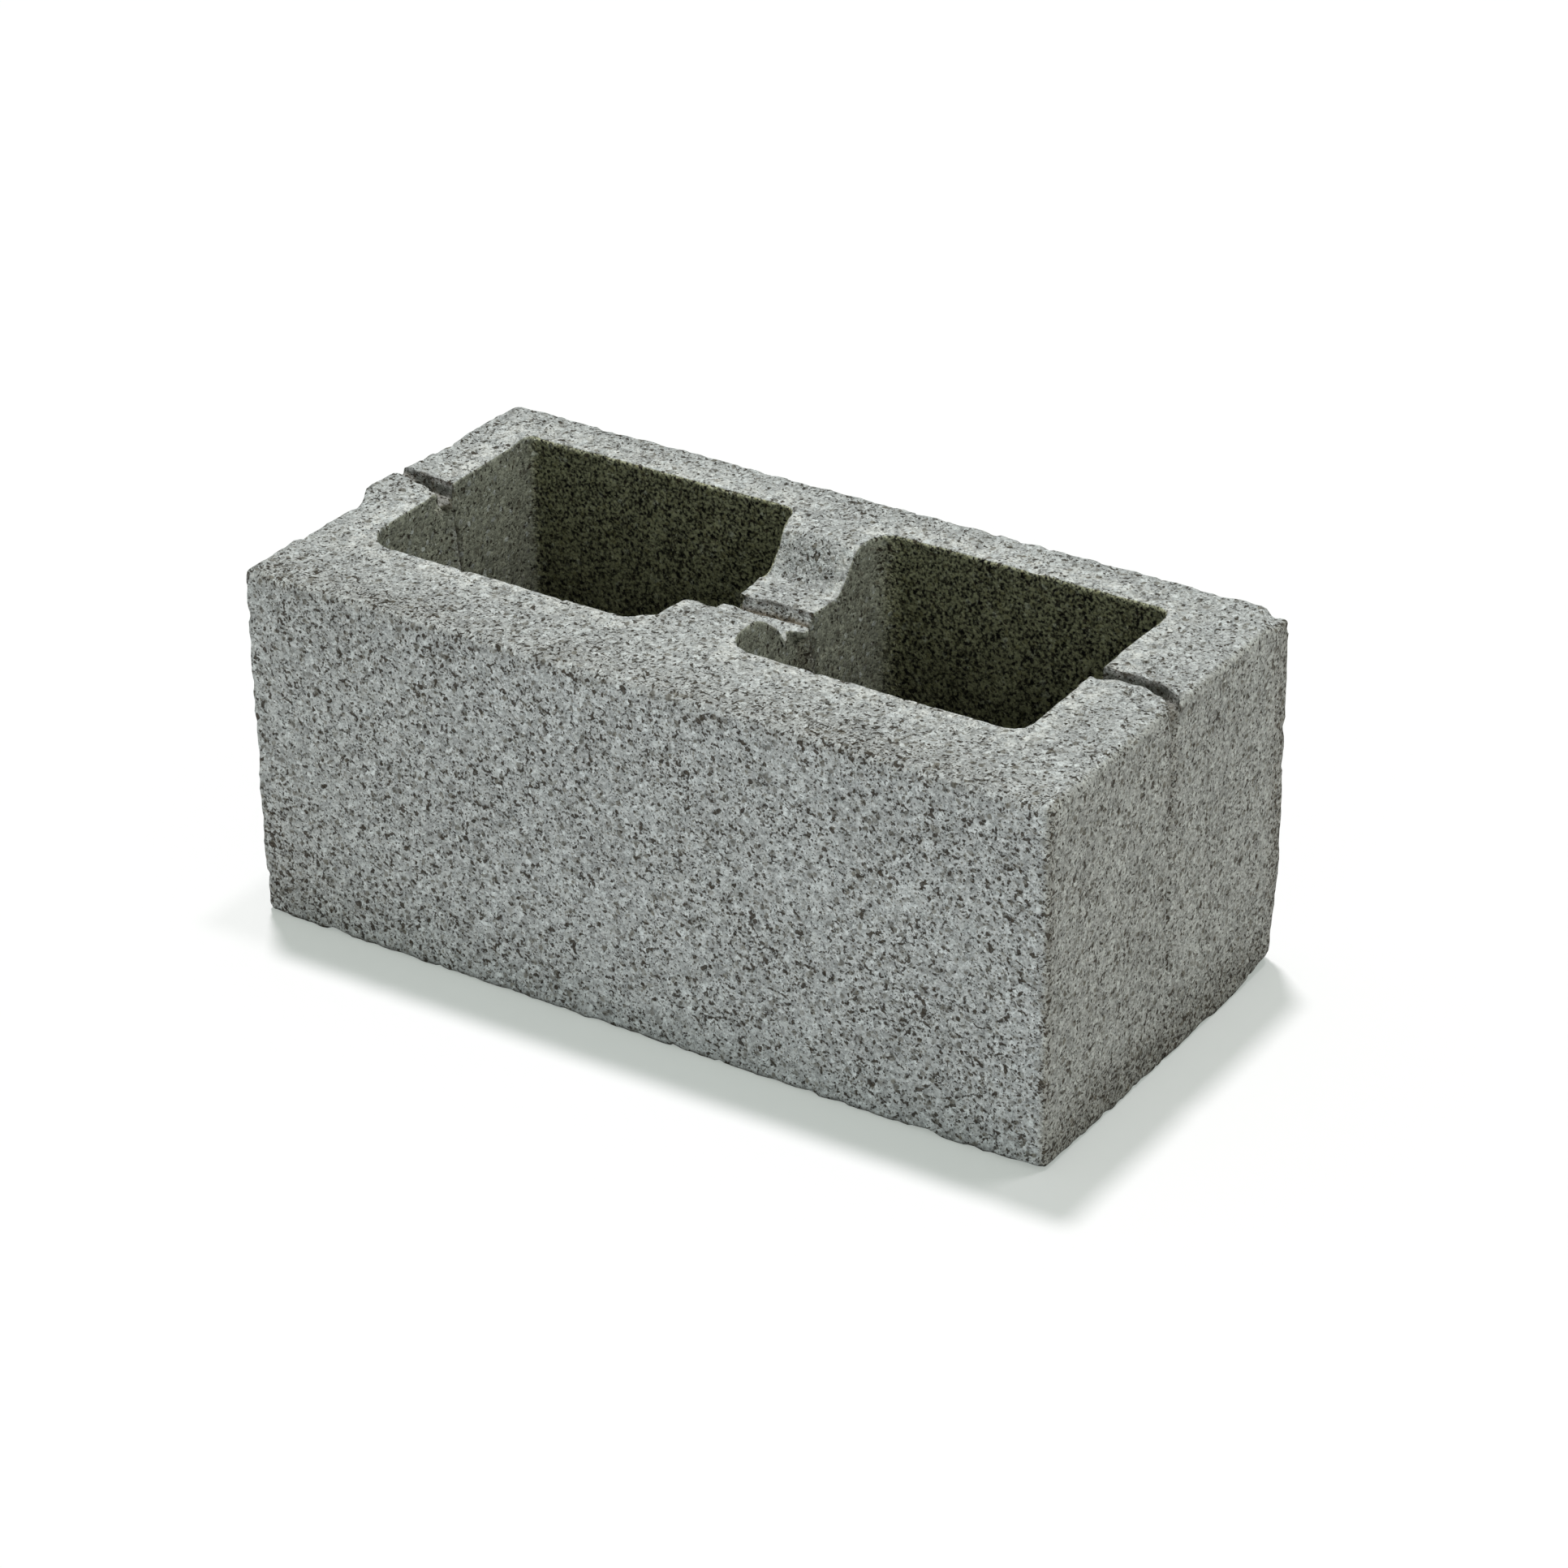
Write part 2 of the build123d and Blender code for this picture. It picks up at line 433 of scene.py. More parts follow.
def cut_grooves(cast, nominal, points):
    """Carries the groove's profile along its line, which leaves the left end straight and bends by an arc
    to the middle of the right end face. Each grid line beside it takes a place across it and a depth from
    the profile: a steep front wall, a floor, and a back wall that leans back by a run over the web."""
    sizes = cast.sizes
    across = nominal[:, 1] - cast.line
    along = np.clip(nominal[:, 0] - cast.end[0] + sizes.groove_bend, 0, sizes.groove_bend)
    radius = (sizes.groove_bend**2 + cast.line**2) / (2 * cast.line)
    bend = radius - np.sqrt(radius**2 - along**2)
    follow = np.clip(1 - (across / 0.045) ** 2, 0, 1) ** 2
    web = over_web(cast, nominal)
    half = (sizes.end_groove + (sizes.web_groove - sizes.end_groove) * web) / 2
    half = half + 0.0008 * noise(nominal * (1, 0, 0) + (0, 0.3, 0), 0.006, 41)
    run = 0.0006 + 0.0024 * web
    to_left = smooth(-nominal[:, 0], -cast.start[0] - 0.030, -cast.start[0])
    at_left = smooth(-nominal[:, 0], -cast.start[0] - 0.012, -cast.start[0] - 0.002)
    to_right = smooth(nominal[:, 0], cast.end[0] - 0.018, cast.end[0])
    line = across / 0.001
    knots = [-12, -7, -6, -5, -4, -3, -2, 2, 3, 4, 5, 6, 7, 12]
    own = np.interp(line, knots, [-12, -1.5, -0.6, 0, 0.3, 0.5, 1.0, -0.4, 0, 0, 0, 0.6, 1.5, 12]) * 0.001
    by_half = np.interp(line, knots, [0, -1, -1, -1, -1, -1, -1, 1, 1, 1, 1, 1, 1, 0])
    by_run = np.interp(line, knots, [0, 0, 0, 0, 0, 0, 0, -1, -1, -0.45, 0, 0, 0, 0])
    deep = np.interp(line, knots, [0, 0, 0.01, 0.09, 0.55, 0.93, 1, 1, 0.95, 0.50, 0.06, 0, 0, 0])
    offset = np.where(np.abs(line) < 12, own + half * by_half + run * by_run, across)
    near_top = smooth(nominal[:, 2], cast.top - 0.030, cast.top)
    result = points.copy()
    result[:, 1] += (offset - across) * near_top + (0.0024 * web + 0.0012 * to_left - bend) * follow
    share_left = 1 - 0.28 * web - 0.62 * at_left - 0.60 * to_right
    worn = sizes.groove * share_left * (1 + 0.10 * noise(nominal * (1, 0, 0), 0.012, 42))
    result[:, 2] -= worn * deep * smooth(nominal[:, 2], cast.top - 0.045, cast.top)
    return result


def press_seams(cast, nominal, points):
    """The upright seams of the mould's joints: a narrow notch down each end face, as a bell curve of the
    distance to the seam, and a thin leaning fin with a notch beside it down the walls of the cells."""
    below = np.clip(cast.top - nominal[:, 2], 0, 0.050)
    across = (nominal[:, 1] - cast.line) / 0.001
    beside = across - cast.sizes.fin_lean * below / 0.001
    depth = cast.sizes.seam * (1 + 0.4 * noise(nominal * (0, 0, 1), 0.011, 51))
    notch = depth * np.exp(-((across / 1.3) ** 2))
    result = points.copy()
    result[:, 0] -= np.where(nominal[:, 0] > cast.end[0] - ON_PLANE, notch, 0)
    result[:, 0] += np.where(nominal[:, 0] < cast.start[0] + ON_PLANE, notch, 0)
    ridge = 1.5 * np.exp(-(((beside + 0.6) / 1.3) ** 2))
    nick = 0.9 * np.exp(-((beside - 1.4) ** 2))
    fin = depth * (ridge - nick)
    for start, end in cast.cell_x:
        result[:, 0] += np.where(np.abs(nominal[:, 0] - start) < ON_PLANE, fin, 0)
        result[:, 0] -= np.where(np.abs(nominal[:, 0] - end) < ON_PLANE, fin * 0.5, 0)
    return result


def raise_burrs(cast, nominal, points):
    """Burrs and drips: at the left end of the groove the edge stands up and out along an outline over y,
    at the back left corner it is swollen, and at the web small drips of paste hang into the cells."""
    sizes = cast.sizes
    result = points.copy()
    y = nominal[:, 1]
    outline = np.interp(y, np.array([-17, -11, -7, 8, 17, 30, 48]) * 0.001, [0, 0.9, 1, 1, 0.80, 0.45, 0])
    outline = outline * (1 + 0.15 * noise(nominal * (0, 1, 0), 0.005, 61))
    back_left = (cast.start[0] + 0.010, cast.end[1] - 0.008, cast.top)
    swell = 0.85 * mound(nominal, back_left, (0.056, 0.048, 0.035))
    from_left = nominal[:, 0] - cast.start[0]
    below = cast.top - nominal[:, 2]
    beside = np.clip(1 - from_left / (0.013 + 0.022 * swell), 0, 1) ** (1.3 - 1.1 * swell)
    deep = np.clip(1 - below / 0.016, 0, 1) ** 1.3
    lip = np.maximum(outline, swell)
    result[:, 2] += lip * beside * deep * sizes.top_skin * 1.25
    result[:, 0] -= outline * beside * deep * sizes.left_skin * 1.35
    worn_before = np.interp(y, np.array([-66, -40, -21, -13]) * 0.001, [0, 0.7, 1, 0])
    result[:, 2] -= worn_before * beside * deep * 0.0012
    result[:, 0] += worn_before * beside * deep * 0.0008
    left, right = cast.web_x
    line = cast.line
    # For each chip, crumb or drip: its place, its reach and how far it moves the surface.
    pushes = [
        ((cast.high[0], cast.high[1], cast.top), (0.014, 0.020, 0.012), (0.0, 0.0, -0.0034)),
        ((right, line - 0.008, cast.top), (0.008, 0.0040, 0.008), (0.0056, 0.0, 0.0)),
        ((right, line - 0.018, cast.top), (0.006, 0.0030, 0.008), (0.0014, 0.0, -0.0042)),
        ((left, line - 0.016, cast.top), (0.010, 0.0060, 0.014), (-0.0012, 0.0, -0.0026)),
        ((left, line + 0.002, cast.top), (0.008, 0.0050, 0.010), (0.0030, 0.0, 0.0)),
        ((cast.cell_x[0][0], line - 0.007, cast.top), (0.009, 0.0060, 0.012), (-0.0034, 0.0, -0.0022)),
        ((cast.cell_x[1][1], line - 0.009, cast.top), (0.012, 0.0080, 0.010), (-0.0020, 0.0, -0.0012)),
    ]
    for centre, reach, push in pushes:
        result += mound(nominal, centre, reach)[:, None] * np.array(push)
    return result


def vertex_normals(points, quads):
    """The mean direction of the quads round each point, each from the cross product of its diagonals."""
    a, b, c, d = (points[quads[:, k]] for k in range(4))
    face = np.cross(c - a, d - b)
    corners = quads.reshape(-1)
    total = [np.bincount(corners, np.repeat(face[:, k], 4), len(points)) for k in range(3)]
    total = np.stack(total, axis=1)
    return total / np.maximum(np.linalg.norm(total, axis=1, keepdims=True), 1e-12)


def roughen(cast, nominal, points, quads):
    """Moves each point along its normal by waves, grain, pits and crumbled edges: three sizes of noise added
    up, and three that only dig where they are over a threshold. The cells' walls get half of it."""
    sizes = cast.sizes
    gap, _, _ = nearest_cell(cast, nominal)
    edge = np.sort(np.minimum(nominal - cast.start, cast.end - nominal), axis=1)[:, 1]
    on_top = smooth(nominal[:, 2], cast.top - 0.004, cast.top)
    amount = np.where(gap < ON_PLANE, 0.5, 1.0) + 0.35 * on_top
    waves = 0.28 * noise(nominal, 0.034, 71)
    grain = 0.45 * noise(nominal, 0.0066, 72) + 0.80 * noise(nominal, 0.0036, 73)
    pits = np.clip(noise(nominal, 0.0047, 74) - 0.42, 0, 1) / 0.58
    pits = pits + np.clip(noise(nominal, 0.0082, 75) - 0.5, 0, 1)
    crumble = smooth(-edge, -0.005, 0.0) * np.clip(noise(nominal, 0.0048, 76) - 0.15, 0, 1) * 0.0010
    move = sizes.relief * (waves + grain) - sizes.pit * pits - crumble
    return points + vertex_normals(points, quads) * (move * amount)[:, None]


def on_faces(cast, nominal):
    """1 on the top, on the right end face and on the front, each falling to 0 at its edges."""
    on_top = smooth(nominal[:, 2], cast.top - 0.0075, cast.top - 0.002)
    on_right = smooth(nominal[:, 0], cast.end[0] - 0.004, cast.end[0])
    on_front = 1 - smooth(nominal[:, 1] - cast.start[1], 0.001, 0.004)
    return on_top, on_right, on_front


def beside_fins(cast, nominal, gap):
    """The distance across the leaning fins, behind them above 0, and 1 on the cells' walls below the top."""
    below = np.clip(cast.top - nominal[:, 2], 0, 0.050)
    beside = nominal[:, 1] - cast.line - cast.sizes.fin_lean * below
    return beside, (gap < ON_PLANE) * smooth(below, 0.004, 0.010)


def paste_and_fin_highlight(cast, nominal, gap):
    """Light paste: a rim round the mouths that fades with the distance to them and stops at the groove, and
    three drips at the web; and a painted highlight on the fins, as a bell curve of the distance to them."""
    on_top, _, _ = on_faces(cast, nominal)
    rim = on_top * (1 - smooth(gap, 0.004, 0.021)) * (gap > ON_PLANE)
    rim = rim * (1 - 0.75 * over_web(cast, nominal) * smooth(gap, 0.004, 0.010))
    in_groove = 1 - smooth(np.abs(nominal[:, 1] - cast.line), 0.0050, 0.0060)
    rim = rim * (1 - in_groove * smooth(nominal[:, 2], cast.top - 0.006, cast.top - 0.001))
    places = [
        (-0.018, (0.010, 0.0034, 0.009)),
        (-0.008, (0.010, 0.0045, 0.006)),
        (0.001, (0.010, 0.0050, 0.004)),
    ]
    drips = [mound(nominal, (cast.web_x[1], cast.line + y, cast.top), reach) for y, reach in places]
    beside, on_wall = beside_fins(cast, nominal, gap)
    # A painted highlight on the lit side of each fin.
    fin = np.exp(-(((beside + 0.0006) / 0.0013) ** 2)) * on_wall
    return np.maximum.reduce([rim, *drips, fin])


def open_bands(cast, nominal, gap):
    """Where the grain is open: the edges and the seam of the right end face, the top's front edge, the web's
    wall below the groove, and the lower left corner of the front; and the foot of the right end face, where
    it also paints shade that grows towards the bottom."""
    on_top, on_right, on_front = on_faces(cast, nominal)
    x, y, z = nominal.T
    from_front = y - cast.start[1]
    at_front = 0.6 * (1 - smooth(from_front, 0.002, 0.006))
    at_back = 0.6 * (1 - smooth(cast.end[1] - y, 0.002, 0.020))
    edges = on_right * np.maximum(at_front, at_back)
    # Painted shade: the right end face darker and browner towards its foot.
    foot = 0.7 * on_right * (1 - smooth(z, 0.004, 0.035))
    across = y - cast.line
    seam = 0.6 * on_right * np.exp(-((across / 0.004) ** 2)) * smooth(z, 0.06, 0.15)
    top_front = on_top * (1 - smooth(from_front, 0.008, 0.028)) * (0.30 + 0.18 * noise(nominal, 0.030, 81))
    run_off = over_web(cast, nominal) * (gap < ON_PLANE)
    run_off = run_off * smooth(-across, -0.005, -0.002) * smooth(across, -0.009, -0.006)
    run_off = run_off * smooth(-z, -cast.top + 0.003, -cast.top + 0.012)
    from_corner = x - cast.start[0] + 1.3 * z
    low_corner = 0.4 * on_front * (1 - smooth(from_corner, 0.020, 0.120))
    return np.maximum.reduce([edges, foot, seam, top_front, run_off, low_corner])


def groove_floor_shade(cast, nominal):
    """Painted shade on the groove's floor: 1 over the web, and less over the end walls, least of all at the
    right end.
    """
    _, on_right, _ = on_faces(cast, nominal)
    web = over_web(cast, nominal)
    across = nominal[:, 1] - cast.line
    near_top = smooth(nominal[:, 2], cast.top - 0.006, cast.top - 0.001)
    dim = (0.62 + 0.38 * web) * (1 - web * smooth(across, 0.0030, 0.0040)) * (1 - 0.6 * on_right)
    return (1 - smooth(np.abs(across), 0.0036, 0.0048)) * near_top * dim


def dark_lines(cast, nominal, gap):
    """Thin dark lines, each a bell curve of the distance to it: painted shade in the notch behind each fin,
    a dark line along the groove's back rim, broken by noise, and painted shade along the block's foot."""
    on_top, _, _ = on_faces(cast, nominal)
    beside, on_wall = beside_fins(cast, nominal, gap)
    # Painted shade in the notch behind each fin.
    notch = 1.5 * np.exp(-(((beside - 0.0016) / 0.0009) ** 2)) * on_wall
    broken = 0.75 + 0.5 * noise(nominal, 0.007, 82)
    across = nominal[:, 1] - cast.line
    groove_rim = 1.4 * np.exp(-(((across - 0.0054) / 0.0008) ** 2)) * on_top * broken
    # Painted shade along the foot, where the block stands on the floor.
    foot = np.exp(-((nominal[:, 2] / 0.0019) ** 2)) * (gap > ON_PLANE)
    return np.clip(np.maximum.reduce([notch, groove_rim, foot]), 0, 1)


def surface_masks(cast, nominal):
    """Masks from 0 to 1 for the material. Beside those above, deep is the depth below the top as a share of
    the height, which paints shade deeper in the cells, the back and right walls of the cells are marked by
    their direction for painted shade, and end marks the right end face and, less, the left part of the
    front for painted shade."""
    gap, way, _ = nearest_cell(cast, nominal)
    on_top, on_right, on_front = on_faces(cast, nominal)
    # Painted shade: the end mask darkens the right end face and, less, the left part of the front.
    left_of_front = 0.28 * on_front * (1 - smooth(nominal[:, 0], cast.low[0], -0.02))
    return {
        "rim": paste_and_fin_highlight(cast, nominal, gap),
        "open_grain_and_foot_shade": open_bands(cast, nominal, gap),
        "top": on_top,
        "deep": (cast.top - nominal[:, 2]) / cast.top,
        "groove": groove_floor_shade(cast, nominal),
        "shade_and_rim_lines": dark_lines(cast, nominal, gap),
        "back_and_right_shade": smooth(way.sum(axis=1), -0.6, 0.9) * (gap < ON_PLANE),
        "end": np.maximum(on_right, left_of_front),
    }


def cast_mesh(sizes):
    """The finished mesh of the block: welded patches, shaped step by step and kept inside the CAD box."""
    cast = Cast(sizes)
    nominal, quads, inner = weld(box_patches(cast))
    points = nominal
    for shape in (round_outside, round_mouths, sink_web, cut_grooves, press_seams, raise_burrs):
        points = shape(cast, nominal, points)
    points = roughen(cast, nominal, points, quads)
    points = np.clip(points, cast.low, cast.high)
    mesh = bpy.data.meshes.new(PIECE)
    mesh.vertices.add(len(points))
    mesh.vertices.foreach_set("co", points.astype(np.float32).ravel())
    mesh.loops.add(quads.size)
    mesh.loops.foreach_set("vertex_index", quads.astype(np.int32).ravel())
    mesh.polygons.add(len(quads))
    mesh.polygons.foreach_set("loop_start", np.arange(0, quads.size, 4, dtype=np.int32))
    mesh.polygons.foreach_set("material_index", inner.astype(np.int32))
    mesh.update(calc_edges=True)
    mesh.shade_smooth()
    for name, values in surface_masks(cast, nominal).items():
        mask = mesh.attributes.new(name, "FLOAT", "POINT")
        mask.data.foreach_set("value", values.astype(np.float32))
    if mesh.validate():
        raise RuntimeError("the block's mesh had bad faces")
    return mesh


class Graph:
    """A node tree with short calls to add nodes and join them."""

    def __init__(self, tree):
        self.tree = tree

    def add(self, kind, **settings):
        """A node of a kind, with its settings."""
        node = self.tree.nodes.new(kind)
        for name, value in settings.items():
            setattr(node, name, value)
        return node

    def join(self, source, target):
        """Links an output to an input."""
        self.tree.links.new(source, target)

    def feed(self, target, value):
        """Links an output, or sets a plain value."""
        if isinstance(value, bpy.types.NodeSocket):
            self.join(value, target)
        else:
            target.default_value = value

    def math(self, operation, first, second):
        """The result of a Math node."""
        node = self.add("ShaderNodeMath", operation=operation)
        for target, value in zip(node.inputs, (first, second)):
            self.feed(target, value)
        return node.outputs[0]

    def ramp(self, value, start, end, low=0.0, high=1.0):
        """A value taken smoothly from the range start to end into the range low to high."""
        node = self.add("ShaderNodeMapRange", interpolation_type="SMOOTHSTEP")
        for target, number in zip(node.inputs, (value, start, end, low, high)):
            self.feed(target, number)
        return node.outputs[0]

    def mix(self, factor, first, second, blend="MIX"):
        """Two colours mixed by a factor."""
        node = self.add("ShaderNodeMix", data_type="RGBA", blend_type=blend)
        self.feed(node.inputs[0], factor)
        for target, value in zip(node.inputs[6:8], (first, second)):
            if not isinstance(value, bpy.types.NodeSocket):
                value = (*value, 1.0)
            self.feed(target, value)
        return node.outputs[2]

    def coats(self, under, coats):
        """A colour under coats, each given by its mask, its share and its own colour."""
        for mask, part, over in coats:
            under = self.mix(self.math("MULTIPLY", mask, part), under, over)
        return under

    def noise(self, vector, scale, detail, roughness):
        """The value of a Noise texture, about 0.3 to 0.7."""
        node = self.add("ShaderNodeTexNoise")
        self.join(vector, node.inputs["Vector"])
        self.feed(node.inputs["Scale"], scale)
        node.inputs["Detail"].default_value = detail
        node.inputs["Roughness"].default_value = roughness
        return node.outputs["Fac"]

    def mask(self, name):
        """One of the mesh's own masks."""
        return self.add("ShaderNodeAttribute", attribute_name=name).outputs["Fac"]

    def object_point(self):
        """The point on the piece, in metres."""
        return self.add("ShaderNodeTexCoord").outputs["Object"]

    def group(self, tree, **values):
        """An effect group with its named inputs fed."""
        node = self.add("ShaderNodeGroup", node_tree=tree)
        for name, value in values.items():
            self.feed(node.inputs[name.replace("_", " ").capitalize()], value)
        return node.outputs


def effect(name, numbers, outputs):
    """An empty shader node group that takes a point and numbers, given with their defaults, and puts out
    values: its graph, and the sockets of its input and output nodes."""
    tree = bpy.data.node_groups.new(name, "ShaderNodeTree")
    tree.interface.new_socket("Point", in_out="INPUT", socket_type="NodeSocketVector")
    for socket, default in numbers.items():
        made = tree.interface.new_socket(socket, in_out="INPUT", socket_type="NodeSocketFloat")
        made.default_value = default
    for socket in outputs:
        tree.interface.new_socket(socket, in_out="OUTPUT", socket_type="NodeSocketFloat")
    graph = Graph(tree)
    return graph, graph.add("NodeGroupInput").outputs, graph.add("NodeGroupOutput").inputs


def grain_effect():
    """Sand and stone grains: cells of a Voronoi texture, each with a random tone, at a grain size."""
    numbers = {"Size": 0.0025, "Light share": 0.3, "Dark share": 0.2}
    graph, given, out = effect("Sand grain", numbers, ("Light", "Dark", "Tone", "Height"))
    scale = graph.math("DIVIDE", 1.0, given["Size"])
    warp = graph.add("ShaderNodeTexNoise")
    graph.join(given["Point"], warp.inputs["Vector"])
    graph.join(graph.math("MULTIPLY", scale, 0.8), warp.inputs["Scale"])
    bent = graph.add("ShaderNodeVectorMath", operation="MULTIPLY_ADD")
    graph.join(warp.outputs["Color"], bent.inputs[0])
    graph.join(given["Size"], bent.inputs[1])
    graph.join(given["Point"], bent.inputs[2])
    cells = graph.add("ShaderNodeTexVoronoi", feature="F1")
    graph.join(bent.outputs[0], cells.inputs["Vector"])
    graph.join(scale, cells.inputs["Scale"])
    tone = graph.add("ShaderNodeSeparateColor")
    graph.join(cells.outputs["Color"], tone.inputs[0])
    light_start = graph.math("SUBTRACT", 1.0, given["Light share"])
    soft = 0.08
    light = graph.ramp(tone.outputs[0], light_start, graph.math("ADD", light_start, soft))
    dark = graph.ramp(tone.outputs[1], graph.math("SUBTRACT", 1.0, given["Dark share"]), 1.0)
    centre = graph.ramp(cells.outputs["Distance"], 0.35, 0.70, 1.0, 0.0)
    graph.join(graph.math("MULTIPLY", light, centre), out["Light"])
    graph.join(graph.math("MULTIPLY", dark, centre), out["Dark"])
    graph.join(tone.outputs[2], out["Tone"])
    graph.join(centre, out["Height"])
    return graph.tree


def pore_effect():
    """Open pores: noise of a pore size over a threshold that falls as the share rises."""
    graph, given, out = effect("Open pores", {"Size": 0.003, "Share": 0.1}, ("Mask",))
    scale = graph.math("DIVIDE", 1.0, given["Size"])
    value = graph.noise(given["Point"], scale, 1.5, 0.45)
    start = graph.math("SUBTRACT", 0.72, graph.math("MULTIPLY", given["Share"], 0.55))
    graph.join(graph.ramp(value, start, graph.math("ADD", start, 0.06)), out["Mask"])
    return graph.tree


def cloud_effect():
    """Uneven tone: wide clouds and upright drag streaks, as one factor round 1."""
    cloud_scale = 26.0
    streak_scale = 330.0
    graph, given, out = effect("Cast clouds", {"Clouds": 0.1, "Streaks": 0.05}, ("Factor",))
    wide = graph.noise(given["Point"], cloud_scale, 3.0, 0.55)
    stretch = graph.add("ShaderNodeMapping")
    graph.join(given["Point"], stretch.inputs["Vector"])
    stretch.inputs["Scale"].default_value = (1.0, 1.0, 0.09)
    streak = graph.noise(stretch.outputs[0], streak_scale, 2.0, 0.6)
    clouds = graph.math("MULTIPLY", graph.math("SUBTRACT", wide, 0.5), given["Clouds"])
    streaks = graph.math("MULTIPLY", graph.math("SUBTRACT", streak, 0.5), given["Streaks"])
    graph.join(graph.math("ADD", graph.math("ADD", clouds, streaks), 1.0), out["Factor"])
    return graph.tree


def concrete(name, finish, effects, base, look):
    """Cast concrete: paste in clouds, light and dark grains of two sizes, open pores and brownish bands, and
    painted shade and a painted highlight where the masks call for them, with bumps of the same grains and
    pores. look holds the shares that differ between the faces."""
    material = bpy.data.materials.new(name)
    material.use_nodes = True
    material.node_tree.nodes.clear()
    graph = Graph(material.node_tree)
    point = graph.object_point()
    patch_scale = 75.0
    rim_scale = 130.0
    mottle_scale = 620.0
    top, rim, open_grain_and_foot_shade = (graph.mask(kind) for kind in ("top", "rim", "open_grain_and_foot_shade"))
    deep, groove, shade_and_rim_lines = (graph.mask(kind) for kind in ("deep", "groove", "shade_and_rim_lines"))
    back_and_right_shade, end = (graph.mask(kind) for kind in ("back_and_right_shade", "end"))
    cloud = graph.group(effects["cloud"], point=point, clouds=look["clouds"], streaks=look["streaks"])
    coarse, fine = (
        graph.group(effects["grain"], point=point, size=size, light_share=look["light"], dark_share=dark)
        for size, dark in ((finish.coarse_grain, look["dark"]), (finish.fine_grain, look["dark"] * 1.2))
    )
    patches = graph.ramp(graph.noise(point, patch_scale, 3.0, 0.6), 0.40, 0.66, 0.0, look["patchy"])
    drawn = graph.math("MULTIPLY", rim, graph.ramp(graph.noise(point, rim_scale, 3.0, 0.6), 0.36, 0.60))
    share_open = graph.math("ADD", graph.math("MULTIPLY", open_grain_and_foot_shade, 0.16), look["pores"])
    share_open = graph.math("ADD", share_open, patches)
    share_open = graph.math("SUBTRACT", share_open, graph.math("MULTIPLY", drawn, 0.08))
    pores = graph.group(effects["pore"], point=point, size=finish.pore_size, share=share_open)["Mask"]
    pins = graph.group(effects["pore"], point=point, size=finish.pin_size, share=share_open)["Mask"]
    holes = graph.group(effects["pore"], point=point, size=finish.hole_size, share=look["holes"])["Mask"]

    paste = graph.mix(top, base, graph.mix(look["top_light"], base, finish.sand))
    grains = [
        # The rim mask also carries the painted highlight on the fins.
        (drawn, 0.85, finish.rim),
        (fine["Light"], look["grain"], finish.sand),
        (fine["Dark"], look["grain"], finish.stone),
        (coarse["Light"], look["grain"], finish.sand),
        (coarse["Dark"], look["grain"], finish.stone),
    ]
    # Painted shade on the right end face and, less, the left part of the front.
    grey = graph.mix(end, graph.coats(paste, grains), finish.end, blend="MULTIPLY")
    # Painted shade on the groove's floor; the open bands get a brownish stain, which at the right end face's
    # foot is painted shade.
    stain_and_groove_shade = graph.coats(grey, [(groove, 0.90, finish.stain), (open_grain_and_foot_shade, 0.38, finish.stain)])
    # Painted shade in the cells: deeper down, and on their back and right walls, the walls turn to the olive
    # shade colour.
    painted_cell_shade = graph.math("ADD", graph.math("MULTIPLY", deep, look["deep"]), graph.math("MULTIPLY", back_and_right_shade, 0.45))
    openings = [
        (pins, 0.80, finish.pore),
        (pores, 0.92, finish.pore),
        (holes, 0.92, finish.pore),
        # The pore colour also paints the shade in the fins' notches and along the block's foot, and the line
        # at the groove's back rim.
        (shade_and_rim_lines, 0.85, finish.pore),
    ]
    finished = graph.coats(graph.mix(painted_cell_shade, stain_and_groove_shade, finish.back_and_right_shade), openings)
    tones = graph.math("ADD", coarse["Tone"], fine["Tone"])
    speckle = graph.ramp(tones, 0.1, 1.9, -look["speckle"], look["speckle"])
    mottle = graph.noise(point, mottle_scale, 2.0, 0.6)
    mottle = graph.ramp(mottle, 0.36, 0.62, -look["mottle"], look["mottle"])
    mottle = graph.math("MULTIPLY", mottle, graph.math("ADD", back_and_right_shade, look["mottle_all"]))
    level = graph.math("ADD", cloud["Factor"], graph.math("ADD", speckle, mottle))
    # Painted shade: the cells' walls get darker towards the bottom.
    sunk = graph.ramp(deep, 0.15, 0.60, 1.0, 1.0 - look["sunk"])
    tint = graph.add("ShaderNodeVectorMath", operation="SCALE")
    graph.join(finished, tint.inputs[0])
    graph.join(graph.math("MULTIPLY", level, sunk), tint.inputs["Scale"])

    height = graph.math("MULTIPLY", coarse["Height"], 0.35)
    height = graph.math("ADD", height, graph.math("MULTIPLY", fine["Height"], 0.2))
    height = graph.math("SUBTRACT", height, graph.math("MAXIMUM", pores, holes))
    height = graph.math("SUBTRACT", height, graph.math("MULTIPLY", pins, 0.5))
    bump = graph.add("ShaderNodeBump")
    bump.inputs["Strength"].default_value = look["bump"]
    bump.inputs["Distance"].default_value = finish.bump
    graph.join(height, bump.inputs["Height"])

    shader = graph.add("ShaderNodeBsdfPrincipled")
    shader.inputs["Specular IOR Level"].default_value = 0.25
    graph.join(tint.outputs[0], shader.inputs["Base Color"])
    graph.join(graph.ramp(coarse["Height"], 0.0, 1.0, 0.97, 0.86), shader.inputs["Roughness"])
    graph.join(bump.outputs[0], shader.inputs["Normal"])
    output = graph.add("ShaderNodeOutputMaterial")
    graph.join(shader.outputs[0], output.inputs[0])
    return material


